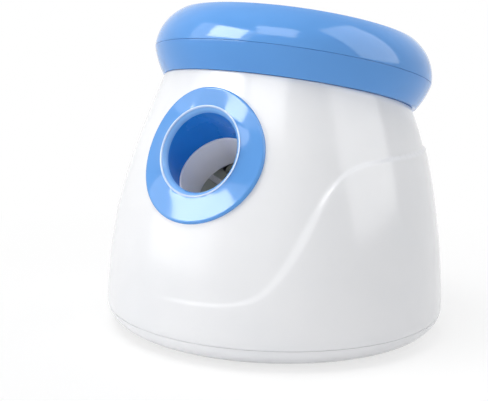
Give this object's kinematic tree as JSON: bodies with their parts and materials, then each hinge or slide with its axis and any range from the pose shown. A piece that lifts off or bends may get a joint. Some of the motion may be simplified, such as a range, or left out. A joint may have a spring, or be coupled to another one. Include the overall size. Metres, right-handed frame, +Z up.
{
  "type": "automatic dog ball launcher",
  "caption": "Round ball launcher for dogs: hopper bowl in a flared blue collar on a leaning white drum body, launch port in front, and a motor-drawn sprung sled inside.",
  "frame": {"origin": "middle of the base, level with the underside of the feet", "axes": "+Z up, the launch port faces -Y, +X is to the right seen from the front"},
  "size_m": [0.25, 0.25, 0.2356],
  "materials": {
    "white_shell": "glossy white ABS",
    "blue_gloss": "glossy periwinkle blue ABS",
    "light_grey": "satin light grey plastic",
    "grey_green": "satin grey-green plastic",
    "dark_grey": "dark grey moulded plastic",
    "nylon": "natural nylon",
    "black_rubber": "soft black rubber",
    "steel": "zinc-plated steel",
    "brass": "turned brass",
    "board_green": "green circuit board",
    "clear_lens": "milky clear plastic",
    "cell_wrap": "plain shrink-wrapped cells"
  },
  "bodies": {
    "case": {"ball_sensors": "clear_lens", "ball_trough": "grey_green", "barrel_liner": "light_grey", "base_tray": "white_shell", "battery_box": "dark_grey", "battery_cells": "cell_wrap", "battery_contacts": "steel", "board_legs": "nylon", "board_parts": "dark_grey", "board_screws": "steel", "board_spacers": "nylon", "buzzer": "dark_grey", "case_screws": "steel", "collar_lower": "blue_gloss", "collar_screws": "steel", "collar_upper": "blue_gloss", "control_board": "board_green", "control_panel": "blue_gloss", "drive_motor": "steel", "drop_chute": "grey_green", "frame_screws": "steel", "gear_pins": "steel", "gearbox_cover": "dark_grey", "gearbox_screws": "steel", "indicator_lenses": "clear_lens", "inlet_pin": "steel", "left_frame": "dark_grey", "main_board": "board_green", "main_housing": "white_shell", "motor_screws": "steel", "port_bezel": "blue_gloss", "power_inlet": "dark_grey", "right_frame": "dark_grey", "rubber_feet": "black_rubber", "shaft_bushes": "brass", "sled_spring_left": "steel", "sled_spring_right": "steel", "slot_bumpers": "black_rubber"},
    "sled": {"launch_sled": "dark_grey", "sled_face_pad": "black_rubber", "drive_rack": "nylon"},
    "output": {"sector_gear": "nylon", "output_wheel": "nylon", "output_shaft": "steel"},
    "first_compound": {"first_gear": "nylon"},
    "second_compound": {"second_gear": "nylon"},
    "rotor": {"motor_pinion": "brass", "motor_shaft": "steel"},
    "power_key": {"power_button": "white_shell"},
    "distance_key": {"distance_button": "white_shell"},
    "door": {"battery_door": "white_shell"}
  },
  "joints": [
    {"name": "sled_slide", "type": "slide", "parent": "case", "child": "sled", "axis": [0, -0.7431, 0.6691], "range_m": [-0.036, 0], "stiffness_N_per_m": 700, "springref_m": 0.012, "deforming": ["sled_spring_left", "sled_spring_right"]},
    {"name": "output_turn", "type": "hinge", "parent": "case", "child": "output", "pos_m": [0.0477, -0.0428, 0.05294], "axis": [1, 0, 0], "range_deg": [-103.33, 0]},
    {"name": "first_turn", "type": "hinge", "parent": "case", "child": "first_compound", "pos_m": [0.0477, -0.02025, 0.04473], "axis": [1, 0, 0], "range_deg": [0, 309.6]},
    {"name": "second_turn", "type": "hinge", "parent": "case", "child": "second_compound", "pos_m": [0.0477, 0.00323, 0.04972], "axis": [1, 0, 0], "range_deg": [-928.39, 0]},
    {"name": "motor_turn", "type": "hinge", "parent": "case", "child": "rotor", "pos_m": [0.0477, 0.02279, 0.04557], "axis": [1, 0, 0], "range_deg": [0, 2784.78]},
    {"name": "power_press", "type": "slide", "parent": "case", "child": "power_key", "axis": [0, -1, 0], "range_m": [0, 0.0012], "stiffness_N_per_m": 500, "springref_m": -0.0006},
    {"name": "distance_press", "type": "slide", "parent": "case", "child": "distance_key", "axis": [0, -1, 0], "range_m": [0, 0.0012], "stiffness_N_per_m": 500, "springref_m": -0.0006},
    {"name": "door_hinge", "type": "hinge", "parent": "case", "child": "door", "pos_m": [0, 0.034, 0.00325], "axis": [-1, 0, 0], "range_deg": [0, 100]}
  ],
  "couplings": [
    {"joint": "output_turn", "follows": "sled_slide", "rad_per_m": 50},
    {"joint": "first_turn", "follows": "sled_slide", "rad_per_m": -150},
    {"joint": "second_turn", "follows": "sled_slide", "rad_per_m": 450},
    {"joint": "motor_turn", "follows": "sled_slide", "rad_per_m": -1350}
  ]
}
